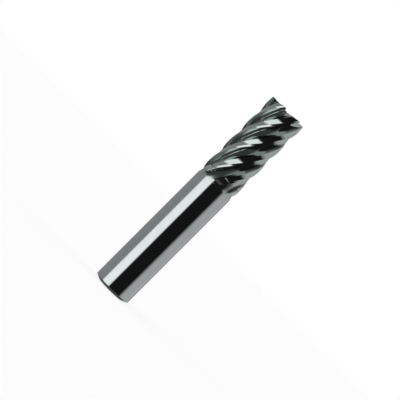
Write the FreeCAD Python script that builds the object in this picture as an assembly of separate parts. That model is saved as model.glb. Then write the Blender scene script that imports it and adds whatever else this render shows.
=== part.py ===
import FreeCAD, Part
import math
import os

# Six-flute square end mill with a brazed cutting head.
# +Z runs along the axis towards the cutting end; the origin is the centre of the rear face.
# All lengths are millimetres, all angles degrees.

# Whole tool
OVERALL_LENGTH = 82.0
SHANK_RADIUS = 7.0
CUTTING_RADIUS = 7.125
REAR_CHAMFER_HEIGHT = 0.8
REAR_CHAMFER_WIDTH = 1.5

# Brazed joint at the end of the flutes; the head's neck is relieved below the shank,
# so that a holder can only grip the shank
JOINT_HEIGHT = 48.2
NECK_RADIUS = 6.8
SHOULDER_START = 49.2
SHOULDER_END = 50.1
BRAZE_GAP = 0.1
SPIGOT_RADIUS = 3.5
SPIGOT_LENGTH = 9.0
SPIGOT_CHAMFER = 0.5
SPIGOT_OVERLAP = 1.0

# Teeth and their relieved lands
TOOTH_COUNT = 6
HELIX_ANGLE = 39.6
LAND_START = 51.9
RAMP_LENGTH = 0.72
RAMP_DROP = 0.8
PRIMARY_WIDTH = 6.5
PRIMARY_CLEARANCE = 7.0
SECONDARY_CLEARANCE = 20.0
HEEL_ANGLE = 23.2
FRONT_OVERLAP = 2.5
HEEL_OVERLAP = 3.0

# Flute cross-section: hooked rake side, rounded root corner, nearly flat floor, short back
RAKE_ANGLE = 8.0
RAKE_DEPTH = 1.3
ROOT_DEPTH = 2.6
FLOOR_START = 1.5
FLOOR_RADIUS = 5.65
FLOOR_ANGLE = 29.0
FLOOR_EASE = 0.8
BACK_EASE = 0.6
HEEL_RADIUS = 6.63
FLUTE_OPENING = 36.8
RAKE_OVERRUN = 0.75
HEEL_OVERRUN = 1.5
CLEAR_RADIUS = 9.5

# Flute run-out into the neck
RUNOUT_START = 56.0
RUNOUT_END = 48.4
RUNOUT_SKEW = 0.55
RUNOUT_OVERRUN = 0.5
TIP_STOCK = 0.4
TIP_OVERRUN = 1.0
SECTION_STEP = 0.75

# End teeth
DISH_ANGLE = 2.0
END_PRIMARY_WIDTH = 1.0
END_PRIMARY_CLEARANCE = 7.0
END_SECONDARY_CLEARANCE = 13.0
END_RELIEF_WIDTH = 3.6
END_RELIEF_LEAD = 0.6
END_RELIEF_HEIGHT = 3.0
GASH_DEPTH = 0.55
GASH_SLOPE = 25.0
GASH_WALL = 35.0
GASH_HOOK = 2.0
GASH_WIDTH = 6.0
GASH_HEIGHT = 8.0
END_OVERRUN = 2.0

LEAD = 2.0 * math.pi * CUTTING_RADIUS / math.tan(math.radians(HELIX_ANGLE))
TOOTH_PITCH = 360.0 / TOOTH_COUNT
CENTRE = FreeCAD.Vector(0, 0, 0)
AXIS = FreeCAD.Vector(0, 0, 1)


def rise(run, angle):
    return run * math.tan(math.radians(angle))


def polar(radius, angle, height=0.0):
    turn = math.radians(angle)
    return FreeCAD.Vector(radius * math.cos(turn), radius * math.sin(turn), height)


def radius_of(point):
    return math.hypot(point.x, point.y)


def angle_of(point):
    return math.degrees(math.atan2(point.y, point.x))


def helix_turn(height):
    # The cutting edge of the first tooth lies on +X at the tip
    return 360.0 * (height - OVERALL_LENGTH) / LEAD


def rounds(shape):
    copies = []
    for index in range(TOOTH_COUNT):
        copy = shape.copy()
        copy.rotate(CENTRE, AXIS, index * TOOTH_PITCH)
        copies.append(copy)
    return copies


# --- Relieved lands -------------------------------------------------------------------

def behind(start, clearance, turn):
    # Point reached from start along a flat relieved at the given clearance angle
    facing = math.radians(angle_of(start))
    slope = math.radians(clearance)
    flat = FreeCAD.Vector(math.sin(facing), -math.cos(facing), 0) * math.cos(slope)
    drop = FreeCAD.Vector(math.cos(facing), math.sin(facing), 0) * -math.sin(slope)
    direction = flat + drop
    goal = math.radians(angle_of(start) - turn)
    normal = FreeCAD.Vector(-math.sin(goal), math.cos(goal), 0)
    return start - direction * (start.dot(normal) / direction.dot(normal))


def land_points():
    edge = polar(CUTTING_RADIUS, 0)
    front = behind(edge, PRIMARY_CLEARANCE, -FRONT_OVERLAP)
    knee = behind(edge, PRIMARY_CLEARANCE, PRIMARY_WIDTH)
    back = behind(knee, SECONDARY_CLEARANCE, HEEL_ANGLE - PRIMARY_WIDTH + HEEL_OVERLAP)
    return [front, knee, back]


def toothed_section(height):
    points = []
    for index in range(TOOTH_COUNT):
        for point in land_points():
            angle = angle_of(point) - index * TOOTH_PITCH + helix_turn(height)
            points.append(polar(radius_of(point), angle, height))
    return Part.makePolygon(points + points[:1])


def section_heights(low, high):
    steps = int(math.ceil((high - low) / SECTION_STEP))
    return [low + (high - low) * index / steps for index in range(steps + 1)]


def make_land_body():
    heights = section_heights(LAND_START, OVERALL_LENGTH + TIP_STOCK)
    sections = [toothed_section(height) for height in heights]
    return Part.makeLoft(sections, True)


# --- Flutes ---------------------------------------------------------------------------

def flute_poles():
    # Rake face, root, floor and back of one flute, from the edge to the next heel
    edge = polar(CUTTING_RADIUS, 0)
    rake = polar(1.0, 180.0 + RAKE_ANGLE)
    corner = edge + rake * ROOT_DEPTH
    floor_end = polar(FLOOR_RADIUS, FLOOR_ANGLE)
    heel = polar(HEEL_RADIUS, FLUTE_OPENING)
    floor = (floor_end - corner).normalize()
    back = (heel - floor_end).normalize()
    return [
        edge - rake * RAKE_OVERRUN,
        edge,
        edge + rake * RAKE_DEPTH,
        corner,
        corner + floor * FLOOR_START,
        floor_end - floor * FLOOR_EASE,
        floor_end,
        floor_end + back * BACK_EASE,
        heel,
        heel + back * HEEL_OVERRUN,
    ]


def lifted(point, height):
    # The flute climbs out of the neck along a parabola, the heel side leaving last
    radius = radius_of(point)
    angle = angle_of(point)
    if height >= RUNOUT_START:
        return radius, angle
    late = max(0.0, min(1.0, angle / FLOOR_ANGLE))
    end = RUNOUT_END + RUNOUT_SKEW * (1.0 - late)
    share = (RUNOUT_START - height) / (RUNOUT_START - end)
    depth = max(NECK_RADIUS - radius, 0.0)
    return radius + depth * share * share, angle


def flute_section(height):
    twist = helix_turn(height)
    poles = []
    for point in flute_poles():
        radius, angle = lifted(point, height)
        poles.append(polar(radius, angle + twist, height))
    curve = Part.BSplineCurve()
    curve.buildFromPoles(poles, False, 3)
    start = poles[0]
    end = poles[-1]
    outer_start = polar(CLEAR_RADIUS, angle_of(start), height)
    outer_end = polar(CLEAR_RADIUS, angle_of(end), height)
    edges = [
        curve.toShape(),
        Part.makeLine(end, outer_end),
        Part.makeLine(outer_end, outer_start),
        Part.makeLine(outer_start, start),
    ]
    return Part.Wire(edges)


def make_flute():
    heights = section_heights(RUNOUT_END - RUNOUT_OVERRUN, OVERALL_LENGTH + TIP_OVERRUN)
    return Part.makeLoft([flute_section(height) for height in heights], True)


# --- End teeth ------------------------------------------------------------------------

def radial_prism(profile, slope, hook):
    # Profile in the Y-Z plane at the edge corner, swept inward past the axis and outward
    inward = FreeCAD.Vector(-1, 0, -rise(1, slope))
    start = FreeCAD.Vector(CUTTING_RADIUS, 0, OVERALL_LENGTH) - inward * END_OVERRUN
    points = [start + FreeCAD.Vector(0, y, z) for y, z in profile]
    face = Part.Face(Part.makePolygon(points + points[:1]))
    prism = face.extrude(inward * (CUTTING_RADIUS + END_OVERRUN))
    prism.rotate(FreeCAD.Vector(CUTTING_RADIUS, 0, 0), AXIS, hook)
    return prism


def make_end_relief():
    knee = -rise(END_PRIMARY_WIDTH, END_PRIMARY_CLEARANCE)
    back = knee - rise(END_RELIEF_WIDTH - END_PRIMARY_WIDTH, END_SECONDARY_CLEARANCE)
    profile = [
        (END_RELIEF_LEAD, rise(END_RELIEF_LEAD, END_PRIMARY_CLEARANCE)),
        (-END_PRIMARY_WIDTH, knee),
        (-END_RELIEF_WIDTH, back),
        (-END_RELIEF_WIDTH, END_RELIEF_HEIGHT),
        (END_RELIEF_LEAD, END_RELIEF_HEIGHT),
    ]
    return radial_prism(profile, DISH_ANGLE, GASH_HOOK)


def make_gash():
    # The groove in front of each end tooth deepens outward until it meets the flute
    bottom = -GASH_DEPTH - rise(CUTTING_RADIUS, GASH_SLOPE)
    profile = [
        (0.0, bottom),
        (GASH_WIDTH, bottom + rise(GASH_WIDTH, GASH_WALL)),
        (GASH_WIDTH, GASH_HEIGHT),
        (0.0, GASH_HEIGHT),
    ]
    return radial_prism(profile, -GASH_SLOPE, GASH_HOOK)


# --- Pieces ---------------------------------------------------------------------------

def turned(profile):
    face = Part.Face(Part.makePolygon(profile + profile[:1]))
    return face.revolve(CENTRE, AXIS, 360)


def make_round_bar(radius, low, high, chamfer_width, chamfer_height):
    profile = [
        FreeCAD.Vector(0, 0, low),
        FreeCAD.Vector(radius - chamfer_width, 0, low),
        FreeCAD.Vector(radius, 0, low + chamfer_height),
        FreeCAD.Vector(radius, 0, high),
        FreeCAD.Vector(0, 0, high),
    ]
    return turned(profile)


def make_spigot(radius, low, high):
    return make_round_bar(radius, low, high, SPIGOT_CHAMFER, SPIGOT_CHAMFER)


def make_neck():
    # Relieved neck, a shoulder up to the cutting size, and the ramp where the lands begin
    ramp_end = LAND_START + RAMP_LENGTH
    profile = [
        FreeCAD.Vector(0, 0, JOINT_HEIGHT),
        FreeCAD.Vector(NECK_RADIUS, 0, JOINT_HEIGHT),
        FreeCAD.Vector(NECK_RADIUS, 0, SHOULDER_START),
        FreeCAD.Vector(CUTTING_RADIUS, 0, SHOULDER_END),
        FreeCAD.Vector(CUTTING_RADIUS, 0, LAND_START),
        FreeCAD.Vector(CUTTING_RADIUS - RAMP_DROP, 0, ramp_end),
        FreeCAD.Vector(0, 0, ramp_end),
    ]
    return turned(profile)


def make_cutting_head():
    blank = make_land_body().fuse(make_neck())
    fluted = blank.cut(rounds(make_flute()))
    pointed = fluted.cut(rounds(make_end_relief()) + rounds(make_gash()))
    low = JOINT_HEIGHT - SPIGOT_LENGTH
    spigot = make_spigot(SPIGOT_RADIUS, low, JOINT_HEIGHT + SPIGOT_OVERLAP)
    return pointed.fuse(spigot).removeSplitter()


def make_shank():
    front = JOINT_HEIGHT - BRAZE_GAP
    body = make_round_bar(SHANK_RADIUS, 0.0, front, REAR_CHAMFER_WIDTH, REAR_CHAMFER_HEIGHT)
    socket_low = JOINT_HEIGHT - SPIGOT_LENGTH - BRAZE_GAP
    socket = make_spigot(SPIGOT_RADIUS + BRAZE_GAP, socket_low, front + SPIGOT_OVERLAP)
    return body.cut(socket)


def make_braze_joint():
    front = JOINT_HEIGHT - BRAZE_GAP
    low = JOINT_HEIGHT - SPIGOT_LENGTH
    film = Part.makeCylinder(NECK_RADIUS, BRAZE_GAP, polar(0, 0, front))
    outer = SPIGOT_RADIUS + BRAZE_GAP
    cup = make_spigot(outer, low - BRAZE_GAP, JOINT_HEIGHT)
    spigot = make_spigot(SPIGOT_RADIUS, low, JOINT_HEIGHT + SPIGOT_OVERLAP)
    return film.fuse(cup).cut(spigot).removeSplitter()


PIECES = {
    "shank": make_shank,
    "braze_joint": make_braze_joint,
    "cutting_head": make_cutting_head,
}

os.makedirs("parts", exist_ok=True)
for name, build in PIECES.items():
    build().exportStep("parts/" + name + ".step")
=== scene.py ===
import math

import bmesh
import bpy
import numpy as np
from mathutils import Matrix, Vector


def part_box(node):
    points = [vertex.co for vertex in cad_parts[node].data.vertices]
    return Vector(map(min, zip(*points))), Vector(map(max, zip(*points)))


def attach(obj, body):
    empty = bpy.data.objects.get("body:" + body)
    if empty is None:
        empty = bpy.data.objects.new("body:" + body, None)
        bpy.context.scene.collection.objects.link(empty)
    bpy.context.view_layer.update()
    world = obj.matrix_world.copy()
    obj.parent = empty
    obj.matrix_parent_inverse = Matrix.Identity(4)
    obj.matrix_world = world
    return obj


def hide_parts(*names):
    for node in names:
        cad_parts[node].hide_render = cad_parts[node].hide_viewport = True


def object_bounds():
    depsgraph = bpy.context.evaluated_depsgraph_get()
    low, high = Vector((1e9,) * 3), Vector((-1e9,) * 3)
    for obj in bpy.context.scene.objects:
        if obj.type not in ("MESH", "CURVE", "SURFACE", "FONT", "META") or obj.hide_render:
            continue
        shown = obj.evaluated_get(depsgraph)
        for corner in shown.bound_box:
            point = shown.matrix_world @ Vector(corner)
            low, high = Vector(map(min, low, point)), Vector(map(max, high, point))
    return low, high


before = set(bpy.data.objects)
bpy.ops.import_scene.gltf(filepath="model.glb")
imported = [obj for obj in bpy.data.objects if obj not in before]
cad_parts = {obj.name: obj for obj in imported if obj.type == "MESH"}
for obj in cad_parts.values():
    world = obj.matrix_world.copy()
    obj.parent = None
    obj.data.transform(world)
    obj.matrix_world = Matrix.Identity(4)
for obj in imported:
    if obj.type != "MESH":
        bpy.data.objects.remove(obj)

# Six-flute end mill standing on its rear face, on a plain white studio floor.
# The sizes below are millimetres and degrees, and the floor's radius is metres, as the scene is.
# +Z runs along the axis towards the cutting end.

CAD_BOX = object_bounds()
MM = 0.001

# Sizes read from the frame
OVERALL_LENGTH = CAD_BOX[1].z / MM
SHANK_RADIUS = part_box("shank")[1].x / MM
CUTTING_RADIUS = CAD_BOX[1].x / MM
JOINT_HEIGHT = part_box("braze_joint")[1].z / MM
SHANK_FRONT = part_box("shank")[1].z / MM
SPIGOT_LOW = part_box("cutting_head")[0].z / MM
BRAZE_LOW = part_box("braze_joint")[0].z / MM
SPIGOT_RADIUS = 3.5
SPIGOT_CHAMFER = 0.5
REAR_CHAMFER_HEIGHT = 0.9
REAR_CHAMFER_WIDTH = 2.1
FACE_RIM_ROUNDING = 0.25
SHANK_RIM_ROUNDING = 0.12
BRAZE_GAP = JOINT_HEIGHT - SHANK_FRONT
NECK_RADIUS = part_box("braze_joint")[1].x / MM
SHOULDER_START = 49.2
SHOULDER_END = 50.1

# Teeth and their relieved lands
TOOTH_COUNT = 6
HELIX_ANGLE = 39.6
LAND_START = 51.9
RAMP_LENGTH = 0.72
RAMP_DROP = 0.8
PRIMARY_WIDTH = 6.5
PRIMARY_CLEARANCE = 7.0
SECONDARY_CLEARANCE = 20.0

# Flute cross-section: hooked rake side, rounded root corner, nearly flat floor, short back
RAKE_ANGLE = 8.0
RAKE_DEPTH = 1.3
ROOT_DEPTH = 2.6
FLOOR_START = 1.5
FLOOR_RADIUS = 5.65
FLOOR_ANGLE = 29.0
FLOOR_EASE = 0.8
BACK_EASE = 0.6
HEEL_RADIUS = 6.63
FLUTE_OPENING = 36.8
RAKE_OVERRUN = 0.75
HEEL_OVERRUN = 1.5

# Flute run-out into the neck
RUNOUT_START = 56.0
RUNOUT_END = 48.4
RUNOUT_SKEW = 0.55

# End teeth
DISH_ANGLE = 2.0
END_PRIMARY_WIDTH = 1.0
END_PRIMARY_CLEARANCE = 7.0
END_SECONDARY_CLEARANCE = 13.0
END_RELIEF_WIDTH = 3.6
END_RELIEF_LEAD = 0.6
END_RELIEF_HEIGHT = 3.0
GASH_DEPTH = 0.55
GASH_SLOPE = 25.0
GASH_WALL = 35.0
GASH_HOOK = 2.0
GASH_WIDTH = 6.0
GASH_HEIGHT = 8.0
END_OVERRUN = 2.0

# Mesh fineness
FLUTE_COLUMNS = 56
SECONDARY_COLUMNS = 16
PRIMARY_COLUMNS = 6
CURVE_SAMPLES = 600
ROW_STEP = 0.3
RUNOUT_ROW_STEP = 0.1
EXIT_ROW_STEP = 0.02
EXIT_MARGIN = 0.3
TIP_STOCK = 0.3
RAMP_ROWS = 15
TURNING_SEGMENTS = 288
SHARP_ANGLE = 10.0

LEAD = 2.0 * math.pi * CUTTING_RADIUS / math.tan(math.radians(HELIX_ANGLE))
TOOTH_PITCH = 360.0 / TOOTH_COUNT


# --- Geometry of the teeth ------------------------------------------------------------

def rise(run, angle):
    return run * math.tan(math.radians(angle))


def helix_turn(height):
    return 360.0 * (height - OVERALL_LENGTH) / LEAD


def flat_radius(turn, start_radius, clearance):
    # Radius of a relieved flat, turn degrees behind its start
    slope = math.radians(clearance)
    return start_radius * math.cos(slope) / np.cos(np.radians(turn) - slope)


KNEE_RADIUS = float(flat_radius(PRIMARY_WIDTH, CUTTING_RADIUS, PRIMARY_CLEARANCE))


# The round blank: neck, shoulder, full cutting size, then the ramp where the lands begin
BLANK_HEIGHTS = (SHOULDER_START, SHOULDER_END, LAND_START, LAND_START + RAMP_LENGTH)
BLANK_RADII = (NECK_RADIUS, CUTTING_RADIUS, CUTTING_RADIUS, CUTTING_RADIUS - RAMP_DROP)


def land_radius(angle, height):
    # The land behind the edge at angle 0, or the next land, whichever is nearer
    behind = np.where(angle > FLUTE_OPENING / 2, TOOTH_PITCH - angle, -angle)
    blank = np.interp(height, BLANK_HEIGHTS, BLANK_RADII)
    if height < LAND_START:
        return np.full_like(behind, blank)
    primary = flat_radius(behind, CUTTING_RADIUS, PRIMARY_CLEARANCE)
    secondary = flat_radius(behind - PRIMARY_WIDTH, KNEE_RADIUS, SECONDARY_CLEARANCE)
    relieved = np.where(behind < PRIMARY_WIDTH, primary, secondary)
    return np.maximum(relieved, blank)


def flute_poles():
    # Rake face, root, floor and back of one flute, from the edge to the next heel
    def polar(radius, angle):
        return radius * np.array([math.cos(math.radians(angle)), math.sin(math.radians(angle))])

    edge = polar(CUTTING_RADIUS, 0.0)
    rake = polar(1.0, 180.0 + RAKE_ANGLE)
    corner = edge + rake * ROOT_DEPTH
    floor_end = polar(FLOOR_RADIUS, FLOOR_ANGLE)
    heel = polar(HEEL_RADIUS, FLUTE_OPENING)
    floor = (floor_end - corner) / np.linalg.norm(floor_end - corner)
    back = (heel - floor_end) / np.linalg.norm(heel - floor_end)
    return np.array([
        edge - rake * RAKE_OVERRUN,
        edge,
        edge + rake * RAKE_DEPTH,
        corner,
        corner + floor * FLOOR_START,
        floor_end - floor * FLOOR_EASE,
        floor_end,
        floor_end + back * BACK_EASE,
        heel,
        heel + back * HEEL_OVERRUN,
    ])


def lifted(poles, height):
    # The flute climbs out of the neck along a parabola, the heel side leaving last
    radius = np.hypot(poles[:, 0], poles[:, 1])
    angle = np.degrees(np.arctan2(poles[:, 1], poles[:, 0]))
    late = np.clip(angle / FLOOR_ANGLE, 0.0, 1.0)
    end = RUNOUT_END + RUNOUT_SKEW * (1.0 - late)
    share = np.maximum(RUNOUT_START - height, 0.0) / (RUNOUT_START - end)
    radius = radius + np.maximum(NECK_RADIUS - radius, 0.0) * share ** 2
    turn = np.radians(angle)
    return np.stack([radius * np.cos(turn), radius * np.sin(turn)], axis=1)


def spline_points(poles, samples):
    # Clamped uniform cubic B-spline through de Boor's basis
    degree = 3
    count = len(poles)
    inner = np.arange(1, count - degree)
    knots = np.concatenate([np.zeros(degree + 1), inner, np.full(degree + 1, count - degree)])
    at = np.linspace(0.0, count - degree - 1e-9, samples)
    basis = [((knots[i] <= at) & (at < knots[i + 1])).astype(float) for i in range(len(knots) - 1)]
    for order in range(1, degree + 1):
        raised = []
        for i in range(len(knots) - 1 - order):
            left = knots[i + order] - knots[i]
            right = knots[i + order + 1] - knots[i + 1]
            value = np.zeros_like(at)
            if left > 0:
                value = value + (at - knots[i]) / left * basis[i]
            if right > 0:
                value = value + (knots[i + order + 1] - at) / right * basis[i + 1]
            raised.append(value)
        basis = raised
    return np.stack(basis, axis=1) @ poles


POLES = flute_poles()


def flute_curve(height):
    # Polar samples of the flute that lie below the land, or None past the run-out
    points = spline_points(lifted(POLES, height), CURVE_SAMPLES)
    radius = np.hypot(points[:, 0], points[:, 1])
    angle = np.degrees(np.arctan2(points[:, 1], points[:, 0]))
    depth = land_radius(angle, height) - radius
    deepest = int(np.argmax(depth))
    if depth[deepest] <= 0:
        return None
    first = deepest
    while first > 0 and depth[first - 1] > 0:
        first -= 1
    last = deepest
    while last < CURVE_SAMPLES - 1 and depth[last + 1] > 0:
        last += 1
    low = first - depth[first] / (depth[first] - depth[first - 1])
    high = last + depth[last] / (depth[last] - depth[last + 1])
    at = np.linspace(low, high, FLUTE_COLUMNS + 1)
    index = np.arange(CURVE_SAMPLES)
    x = np.interp(at, index, points[:, 0])
    y = np.interp(at, index, points[:, 1])
    return np.hypot(x, y), np.degrees(np.arctan2(y, x))


def section_row(height, rest_angles):
    # One sixth of the tool's outline: land from heel to edge, then the flute in front of it;
    # below the run-out the flute's columns lie on the neck at the angles of the first flute row
    found = flute_curve(height)
    if found is None:
        flute_radii = np.full(FLUTE_COLUMNS + 1, NECK_RADIUS)
        flute_angles = rest_angles
    else:
        flute_radii, flute_angles = found
    heel = flute_angles[-1] - TOOTH_PITCH
    edge = flute_angles[0]
    knee = -PRIMARY_WIDTH
    secondary = np.linspace(heel, knee, SECONDARY_COLUMNS + 1)[1:]
    primary = np.linspace(knee, edge, PRIMARY_COLUMNS + 1)[1:-1]
    land = np.concatenate([secondary, primary])
    land_radii = land_radius(land, height)
    angles = np.concatenate([land, flute_angles])
    radii = np.concatenate([land_radii, flute_radii])
    return radii, angles


def row_heights():
    # Close rows where the flutes leave the neck, and a row at every corner of the blank
    exit_top = RUNOUT_END + RUNOUT_SKEW + EXIT_MARGIN
    ramp_end = LAND_START + RAMP_LENGTH
    heights = np.concatenate([
        [JOINT_HEIGHT, SHOULDER_START, SHOULDER_END],
        np.arange(RUNOUT_END, exit_top, EXIT_ROW_STEP),
        np.arange(exit_top, LAND_START, RUNOUT_ROW_STEP),
        np.linspace(LAND_START, ramp_end, RAMP_ROWS),
        np.arange(ramp_end + ROW_STEP, OVERALL_LENGTH + TIP_STOCK, ROW_STEP),
    ])
    heights.sort()
    apart = np.diff(heights, prepend=-1.0) > EXIT_ROW_STEP / 4
    return heights[apart]


# --- Mesh helpers ---------------------------------------------------------------------

def new_piece(name, mesh_maker, node):
    mesh = bpy.data.meshes.new(name)
    maker = bmesh.new()
    mesh_maker(maker)
    bmesh.ops.remove_doubles(maker, verts=maker.verts, dist=1e-7)
    bmesh.ops.recalc_face_normals(maker, faces=maker.faces)
    maker.to_mesh(mesh)
    maker.free()
    piece = bpy.data.objects.new(name, mesh)
    bpy.context.scene.collection.objects.link(piece)
    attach(piece, "root")
    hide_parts(node)
    return piece


def mark_sharp_edges(mesh, angle):
    maker = bmesh.new()
    maker.from_mesh(mesh)
    for face in maker.faces:
        face.smooth = True
    for edge in maker.edges:
        bend = edge.calc_face_angle(0.0) if len(edge.link_faces) == 2 else 0.0
        edge.smooth = bend < math.radians(angle)
    maker.to_mesh(mesh)
    maker.free()


def bridge(maker, low, high):
    count = len(low)
    for index in range(count):
        after = (index + 1) % count
        maker.faces.new((low[index], low[after], high[after], high[index]))


def turned(profile):
    # Mesh maker for a profile of (radius, height) points turned about the axis
    def make(maker):
        rings = []
        for radius, height in profile:
            ring = []
            for index in range(TURNING_SEGMENTS):
                turn = 2.0 * math.pi * index / TURNING_SEGMENTS
                place = Vector((radius * math.cos(turn), radius * math.sin(turn), height))
                ring.append(maker.verts.new(place * MM))
            rings.append(ring)
        for low, high in zip(rings, rings[1:]):
            bridge(maker, low, high)
    return make


# --- Shank and braze ------------------------------------------------------------------

def rounded_corner(before, corner, after, reach, steps=4):
    # Points of a small arc-like curve that breaks the corner of a turned profile
    start = corner + (before - corner).normalized() * reach
    end = corner + (after - corner).normalized() * reach
    points = []
    for step in range(steps + 1):
        share = step / steps
        first = start.lerp(corner, share)
        second = corner.lerp(end, share)
        points.append(tuple(first.lerp(second, share)))
    return points


def rear_profile():
    centre = Vector((0.0, 0.0))
    face_rim = Vector((SHANK_RADIUS - REAR_CHAMFER_WIDTH, 0.0))
    shank_rim = Vector((SHANK_RADIUS, REAR_CHAMFER_HEIGHT))
    front = Vector((SHANK_RADIUS, SHANK_FRONT))
    inner = rounded_corner(centre, face_rim, shank_rim, FACE_RIM_ROUNDING)
    outer = rounded_corner(face_rim, shank_rim, front, SHANK_RIM_ROUNDING)
    return [(0.0, 0.0)] + inner + outer


def make_shank():
    socket = SPIGOT_RADIUS + BRAZE_GAP
    profile = rear_profile() + [
        (SHANK_RADIUS, SHANK_FRONT),
        (socket, SHANK_FRONT),
        (socket, BRAZE_LOW + SPIGOT_CHAMFER),
        (socket - SPIGOT_CHAMFER, BRAZE_LOW),
        (0.0, BRAZE_LOW),
    ]
    piece = new_piece("ground_shank", turned(profile), "shank")
    mark_sharp_edges(piece.data, SHARP_ANGLE)
    return piece


def make_braze():
    socket = SPIGOT_RADIUS + BRAZE_GAP
    profile = [
        (0.0, BRAZE_LOW),
        (socket - SPIGOT_CHAMFER, BRAZE_LOW),
        (socket, BRAZE_LOW + SPIGOT_CHAMFER),
        (socket, SHANK_FRONT),
        (NECK_RADIUS, SHANK_FRONT),
        (NECK_RADIUS, JOINT_HEIGHT),
        (SPIGOT_RADIUS, JOINT_HEIGHT),
        (SPIGOT_RADIUS, SPIGOT_LOW + SPIGOT_CHAMFER),
        (SPIGOT_RADIUS - SPIGOT_CHAMFER, SPIGOT_LOW),
        (0.0, SPIGOT_LOW),
    ]
    piece = new_piece("braze_film", turned(profile), "braze_joint")
    mark_sharp_edges(piece.data, SHARP_ANGLE)
    return piece


# --- Cutting head ---------------------------------------------------------------------

def head_rows():
    heights = row_heights()
    rest_angles = np.linspace(15.0, 16.0, FLUTE_COLUMNS + 1)
    for height in heights:
        found = flute_curve(height)
        if found is not None:
            rest_angles = np.linspace(found[1][0], found[1][-1], FLUTE_COLUMNS + 1)
            break
    steady = None
    rows = []
    for height in heights:
        if height > max(RUNOUT_START, LAND_START + RAMP_LENGTH):
            if steady is None:
                steady = section_row(height, rest_angles)
            rows.append((height, *steady))
        else:
            rows.append((height, *section_row(height, rest_angles)))
    return rows


def fluted_body(maker):
    rings = []
    for height, radii, angles in head_rows():
        ring = []
        for tooth in range(TOOTH_COUNT):
            turns = np.radians(angles + tooth * TOOTH_PITCH + helix_turn(height))
            for radius, turn in zip(radii, turns):
                place = Vector((radius * math.cos(turn), radius * math.sin(turn), height))
                ring.append(maker.verts.new(place * MM))
        rings.append(ring)
    for low, high in zip(rings, rings[1:]):
        bridge(maker, low, high)
    maker.faces.new(rings[-1])
    outline = rings[0]
    for radius, height in (
        (SPIGOT_RADIUS, JOINT_HEIGHT),
        (SPIGOT_RADIUS, SPIGOT_LOW + SPIGOT_CHAMFER),
        (SPIGOT_RADIUS - SPIGOT_CHAMFER, SPIGOT_LOW),
    ):
        ring = []
        for vert in outline:
            flat = Vector((vert.co.x, vert.co.y)).normalized() * radius * MM
            ring.append(maker.verts.new((flat.x, flat.y, height * MM)))
        bridge(maker, outline, ring)
        outline = ring
    maker.faces.new(outline)


def radial_prism(name, profile, slope, hook, tooth):
    # Profile in the Y-Z plane at the edge corner, swept inward past the axis and outward
    inward = Vector((-1.0, 0.0, -rise(1.0, slope)))
    start = Vector((CUTTING_RADIUS, 0.0, OVERALL_LENGTH)) - inward * END_OVERRUN
    corner = Vector((CUTTING_RADIUS, 0.0, 0.0))
    swing = Matrix.Rotation(math.radians(hook), 4, "Z")
    hooked = Matrix.Translation(corner) @ swing @ Matrix.Translation(-corner)
    placed = Matrix.Rotation(math.radians(tooth * TOOTH_PITCH), 4, "Z") @ hooked
    maker = bmesh.new()
    ends = []
    for sweep in (Vector((0.0, 0.0, 0.0)), inward * (CUTTING_RADIUS + END_OVERRUN)):
        ring = []
        for y, z in profile:
            place = placed @ (start + Vector((0.0, y, z)) + sweep)
            ring.append(maker.verts.new(place * MM))
        ends.append(ring)
    bridge(maker, ends[0], ends[1])
    maker.faces.new(ends[0])
    maker.faces.new(ends[1])
    bmesh.ops.recalc_face_normals(maker, faces=maker.faces)
    mesh = bpy.data.meshes.new(name)
    maker.to_mesh(mesh)
    maker.free()
    return bpy.data.objects.new(name, mesh)


def end_cutters():
    knee = -rise(END_PRIMARY_WIDTH, END_PRIMARY_CLEARANCE)
    back = knee - rise(END_RELIEF_WIDTH - END_PRIMARY_WIDTH, END_SECONDARY_CLEARANCE)
    relief = [
        (END_RELIEF_LEAD, rise(END_RELIEF_LEAD, END_PRIMARY_CLEARANCE)),
        (-END_PRIMARY_WIDTH, knee),
        (-END_RELIEF_WIDTH, back),
        (-END_RELIEF_WIDTH, END_RELIEF_HEIGHT),
        (END_RELIEF_LEAD, END_RELIEF_HEIGHT),
    ]
    bottom = -GASH_DEPTH - rise(CUTTING_RADIUS, GASH_SLOPE)
    gash = [
        (0.0, bottom),
        (GASH_WIDTH, bottom + rise(GASH_WIDTH, GASH_WALL)),
        (GASH_WIDTH, GASH_HEIGHT),
        (0.0, GASH_HEIGHT),
    ]
    cutters = []
    for tooth in range(TOOTH_COUNT):
        cutters.append(radial_prism("end_relief", relief, DISH_ANGLE, GASH_HOOK, tooth))
        cutters.append(radial_prism("gash", gash, -GASH_SLOPE, GASH_HOOK, tooth))
    return cutters


def cut(piece, cutters):
    group = bpy.data.collections.new("cutters")
    bpy.context.scene.collection.children.link(group)
    for cutter in cutters:
        group.objects.link(cutter)
    modifier = piece.modifiers.new("end_grinding", "BOOLEAN")
    modifier.operation = "DIFFERENCE"
    modifier.solver = "EXACT"
    modifier.operand_type = "COLLECTION"
    modifier.collection = group
    bpy.context.view_layer.update()
    evaluated = piece.evaluated_get(bpy.context.evaluated_depsgraph_get())
    result = bpy.data.meshes.new_from_object(evaluated)
    piece.modifiers.clear()
    old = piece.data
    piece.data = result
    bpy.data.meshes.remove(old)
    for cutter in cutters:
        mesh = cutter.data
        bpy.data.objects.remove(cutter)
        bpy.data.meshes.remove(mesh)
    bpy.data.collections.remove(group)


def make_head():
    piece = new_piece("fluted_head", fluted_body, "cutting_head")
    cut(piece, end_cutters())
    mark_sharp_edges(piece.data, SHARP_ANGLE)
    return piece


# --- Materials ------------------------------------------------------------------------

# Depth of the marks in millimetres, and how far in from the edge reaches the crest that is painted
# brighter as a highlight and made a little rougher
RING_DEPTH = 0.0006
STROKE_DEPTH = 0.0006
GRAIN_DEPTH = 0.004
CREST_HIGHLIGHT_DEPTH = 0.05
SHANK_ANISOTROPY = 0.5
RIM_DULLNESS = 0.4
RIM_BLEND = 0.1


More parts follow.
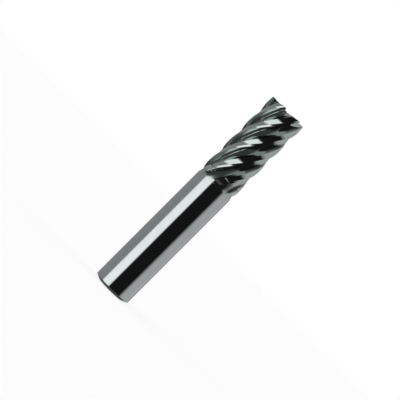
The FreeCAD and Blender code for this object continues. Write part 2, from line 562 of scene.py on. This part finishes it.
class Nodes:
    """Short calls for building one node tree."""

    def __init__(self, tree):
        self.tree = tree
        tree.nodes.clear()

    def add(self, kind, inputs=None, **settings):
        node = self.tree.nodes.new(kind)
        for name, value in settings.items():
            setattr(node, name, value)
        for name, value in (inputs or {}).items():
            if isinstance(value, bpy.types.NodeSocket):
                self.tree.links.new(value, node.inputs[name])
            else:
                node.inputs[name].default_value = value
        return node

    def math(self, operation, first, second=0.0):
        node = self.add("ShaderNodeMath", {0: first, 1: second}, operation=operation)
        return node.outputs[0]

    def mix(self, factor, first, second):
        node = self.add("ShaderNodeMix", {
            "Factor": factor,
            "A": first,
            "B": second,
        }, data_type="RGBA")
        return node.outputs["Result"]


def place_in_millimetres(nodes, twist=0.0):
    # Place on the piece, turned back about the axis by twist radians for each millimetre of height
    place = nodes.add("ShaderNodeTexCoord").outputs["Object"]
    scaled = nodes.add("ShaderNodeVectorMath", {0: place, "Scale": 1.0 / MM}, operation="SCALE")
    place = scaled.outputs["Vector"]
    height = nodes.add("ShaderNodeSeparateXYZ", {0: place}).outputs["Z"]
    back = nodes.math("MULTIPLY", height, -twist)
    turned_back = nodes.add("ShaderNodeVectorRotate", {
        "Vector": place,
        "Angle": back,
    }, rotation_type="Z_AXIS")
    return turned_back.outputs["Vector"]


def noise(nodes, place, marks_per_mm, detail=3.0):
    # Noise drawn out where the marks per millimetre are few
    stretched = nodes.add("ShaderNodeVectorMath", {0: place, 1: marks_per_mm}, operation="MULTIPLY")
    node = nodes.add("ShaderNodeTexNoise", {
        "Vector": stretched.outputs["Vector"],
        "Scale": 1.0,
        "Detail": detail,
    })
    return node.outputs["Fac"]


def spread(nodes, value, low, high):
    # The useful middle of a noise, brought between low and high
    node = nodes.add("ShaderNodeMapRange", {
        "Value": value,
        "From Min": 0.3,
        "From Max": 0.7,
        "To Min": low,
        "To Max": high,
    })
    return node.outputs["Result"]


def metal(name, make_inputs, anisotropy=0.0):
    material = bpy.data.materials.new(name)
    material.use_nodes = True
    nodes = Nodes(material.node_tree)
    colour, roughness, marks, depth = make_inputs(nodes)
    bump = nodes.add("ShaderNodeBump", {"Height": marks, "Distance": depth * MM, "Strength": 1.0})
    shader = nodes.add("ShaderNodeBsdfPrincipled", {
        "Base Color": colour,
        "Metallic": 1.0,
        "Roughness": roughness,
        "Anisotropic": anisotropy,
        "Anisotropic Rotation": 0.25,
        "Normal": bump.outputs["Normal"],
    })
    if anisotropy:
        tangent = nodes.add("ShaderNodeTangent", direction_type="RADIAL", axis="Z")
        nodes.tree.links.new(tangent.outputs["Tangent"], shader.inputs["Tangent"])
    nodes.add("ShaderNodeOutputMaterial", {"Surface": shader.outputs[0]})
    return material


def ground_steel():
    # Cylindrically ground: fine rings round the shank, faint cloudiness from handling, and a
    # rear rim that is only turned, so duller
    def make(nodes):
        place = place_in_millimetres(nodes)
        rings = noise(nodes, place, (0.25, 0.25, 9.0), 4.0)
        clouds = noise(nodes, place, (0.35, 0.35, 0.25))
        shade = spread(nodes, clouds, 0.0, 1.0)
        colour = nodes.mix(shade, (0.59, 0.63, 0.63, 1.0), (0.65, 0.68, 0.685, 1.0))
        rim = nodes.add("ShaderNodeMapRange", {
            "Value": nodes.add("ShaderNodeSeparateXYZ", {0: place}).outputs["Z"],
            "From Min": REAR_CHAMFER_HEIGHT - RIM_BLEND,
            "From Max": REAR_CHAMFER_HEIGHT,
            "To Min": RIM_DULLNESS,
            "To Max": 0.0,
        }).outputs["Result"]
        ground = nodes.math("ADD", spread(nodes, rings, 0.04, 0.11), spread(nodes, clouds, 0.0, 0.03))
        return colour, nodes.math("ADD", ground, rim), rings, RING_DEPTH
    return metal("ground_steel", make, SHANK_ANISOTROPY)


def ground_carbide():
    # Marks of the wheel run along the helix; the crest behind each edge is given a lighter colour, a
    # painted highlight on the primary land, and is made a little rougher
    def make(nodes):
        place = place_in_millimetres(nodes, 2.0 * math.pi / LEAD)
        strokes = noise(nodes, place, (7.0, 7.0, 0.12), 4.0)
        clouds = noise(nodes, place, (0.5, 0.5, 0.2))
        flat = nodes.add("ShaderNodeVectorMath", {0: place, 1: (1.0, 1.0, 0.0)}, operation="MULTIPLY")
        radius = nodes.add("ShaderNodeVectorMath", {0: flat.outputs["Vector"]}, operation="LENGTH")
        crest_highlight = nodes.add("ShaderNodeMapRange", {
            "Value": radius.outputs["Value"],
            "From Min": CUTTING_RADIUS - CREST_HIGHLIGHT_DEPTH,
            "From Max": CUTTING_RADIUS,
        }).outputs["Result"]
        shade = spread(nodes, clouds, 0.0, 1.0)
        body = nodes.mix(shade, (0.53, 0.59, 0.575, 1.0), (0.59, 0.65, 0.63, 1.0))
        # Painted highlight: the crest behind each edge takes a lighter colour than the rest of the
        # head
        colour = nodes.mix(crest_highlight, body, (0.68, 0.72, 0.71, 1.0))
        rubbed = nodes.math("MULTIPLY", crest_highlight, 0.05)
        roughness = nodes.math("ADD", spread(nodes, strokes, 0.06, 0.15), rubbed)
        return colour, roughness, strokes, STROKE_DEPTH
    return metal("ground_carbide", make)


def silver_braze():
    # Wiped filler: slightly warm, duller and grainy
    def make(nodes):
        place = place_in_millimetres(nodes)
        grains = noise(nodes, place, (4.0, 4.0, 4.0), 5.0)
        shade = spread(nodes, grains, 0.0, 1.0)
        colour = nodes.mix(shade, (0.58, 0.57, 0.53, 1.0), (0.68, 0.66, 0.60, 1.0))
        return colour, spread(nodes, grains, 0.18, 0.34), grains, GRAIN_DEPTH
    return metal("silver_braze", make)


def dress(piece, material):
    piece.data.materials.clear()
    piece.data.materials.append(material)
    return piece


# --- Studio ---------------------------------------------------------------------------

CAMERA_AZIMUTH = -16.7
CAMERA_DISTANCE = 536.0
CAMERA_LENS = 148.0
CAMERA_AIM = 0.34
CAMERA_ROLL = 45.0
FLOOR_RADIUS = 3.0
FLOOR_GAP = 0.02


def camera_direction():
    turn = math.radians(CAMERA_AZIMUTH)
    return Vector((math.sin(turn), -math.cos(turn), 0.0))


def make_camera():
    data = bpy.data.cameras.new("camera")
    data.lens = CAMERA_LENS
    data.clip_start = 0.01
    data.clip_end = 20.0
    camera = bpy.data.objects.new("camera", data)
    bpy.context.scene.collection.objects.link(camera)
    middle = Vector((0.0, 0.0, (CAD_BOX[0].z + CAD_BOX[1].z) / 2 + CAMERA_AIM * MM))
    back = camera_direction()
    upright = (-back).to_track_quat("-Z", "Y").to_matrix()
    roll = Matrix.Rotation(math.radians(CAMERA_ROLL), 3, "Z")
    place = Matrix.Translation(middle + back * CAMERA_DISTANCE * MM)
    camera.matrix_world = place @ (upright @ roll).to_4x4()
    bpy.context.scene.camera = camera


def make_floor():
    maker = bmesh.new()
    bmesh.ops.create_circle(maker, cap_ends=True, segments=96, radius=FLOOR_RADIUS)
    mesh = bpy.data.meshes.new("floor")
    maker.to_mesh(mesh)
    maker.free()
    floor = bpy.data.objects.new("floor", mesh)
    floor.location.z = CAD_BOX[0].z - FLOOR_GAP * MM
    bpy.context.scene.collection.objects.link(floor)
    floor.visible_glossy = False
    material = bpy.data.materials.new("pale_floor")
    material.use_nodes = True
    nodes = Nodes(material.node_tree)
    shader = nodes.add("ShaderNodeBsdfPrincipled", {
        "Base Color": (0.8, 0.8, 0.8, 1.0),
        "Roughness": 0.7,
        "Emission Color": (1.0, 1.0, 1.0, 1.0),
        "Emission Strength": 0.75,
    })
    nodes.add("ShaderNodeOutputMaterial", {"Surface": shader.outputs[0]})
    dress(floor, material)


# A plain product studio, all of it soft: a dark room with pale walls round the table, a large
# softbox at the left, a weaker fill at the right, a light overhead, and at the camera a black
# card that gives polished metal its contrast.
# Each panel: its middle and its width, then its middle and its height, in degrees, seen from
# the tool with azimuth 0 at the camera's side, and its brightness.
ROOM_SHADE = 0.08
EDGE_SOFTNESS = 10.0
PANELS = {
    "walls": ((0.0, 400.0), (5.0, 60.0), 0.3),
    "overhead": ((0.0, 400.0), (90.0, 50.0), 0.5),
    "softbox": ((-45.0, 50.0), (5.0, 60.0), 1.2),
    "fill": ((110.0, 80.0), (10.0, 80.0), 0.5),
    "black_card": ((20.0, 80.0), (15.0, 80.0), 0.01),
}


def within(nodes, value, middle, width):
    # 1 inside the span and 0 outside it, with soft edges
    away = nodes.math("ABSOLUTE", nodes.math("SUBTRACT", value, middle))
    node = nodes.add("ShaderNodeMapRange", {
        "Value": away,
        "From Min": (width - EDGE_SOFTNESS) / 2,
        "From Max": (width + EDGE_SOFTNESS) / 2,
        "To Min": 1.0,
        "To Max": 0.0,
    }, interpolation_type="SMOOTHSTEP")
    return node.outputs["Result"]


def grey(shade):
    return (shade, shade, shade, 1.0)


def make_world():
    world = bpy.data.worlds.new("studio")
    bpy.context.scene.world = world
    world.use_nodes = True
    nodes = Nodes(world.node_tree)
    place = nodes.add("ShaderNodeTexCoord").outputs["Generated"]
    height = nodes.add("ShaderNodeSeparateXYZ", {0: place}).outputs["Z"]
    front = camera_direction()
    side = Vector((-front.y, front.x, 0.0))
    along_front = nodes.add("ShaderNodeVectorMath", {0: place, 1: front}, operation="DOT_PRODUCT")
    along_side = nodes.add("ShaderNodeVectorMath", {0: place, 1: side}, operation="DOT_PRODUCT")
    around = nodes.math("ARCTAN2", along_side.outputs["Value"], along_front.outputs["Value"])
    azimuth = nodes.math("MULTIPLY", around, 180.0 / math.pi)
    elevation = nodes.math("MULTIPLY", nodes.math("ARCSINE", height), 180.0 / math.pi)
    room = grey(ROOM_SHADE)
    for across, upward, brightness in PANELS.values():
        sideways = within(nodes, azimuth, *across)
        covered = nodes.math("MULTIPLY", sideways, within(nodes, elevation, *upward))
        room = nodes.mix(covered, room, grey(brightness))
    seen = nodes.add("ShaderNodeLightPath").outputs["Is Camera Ray"]
    background = nodes.mix(seen, room, grey(1.0))
    shader = nodes.add("ShaderNodeBackground", {"Color": background})
    nodes.add("ShaderNodeOutputWorld", {"Surface": shader.outputs[0]})


# --- Scene ----------------------------------------------------------------------------


bpy.context.scene.view_settings.view_transform = "Standard"
dress(make_shank(), ground_steel())
dress(make_braze(), silver_braze())
dress(make_head(), ground_carbide())
make_floor()
make_world()
make_camera()
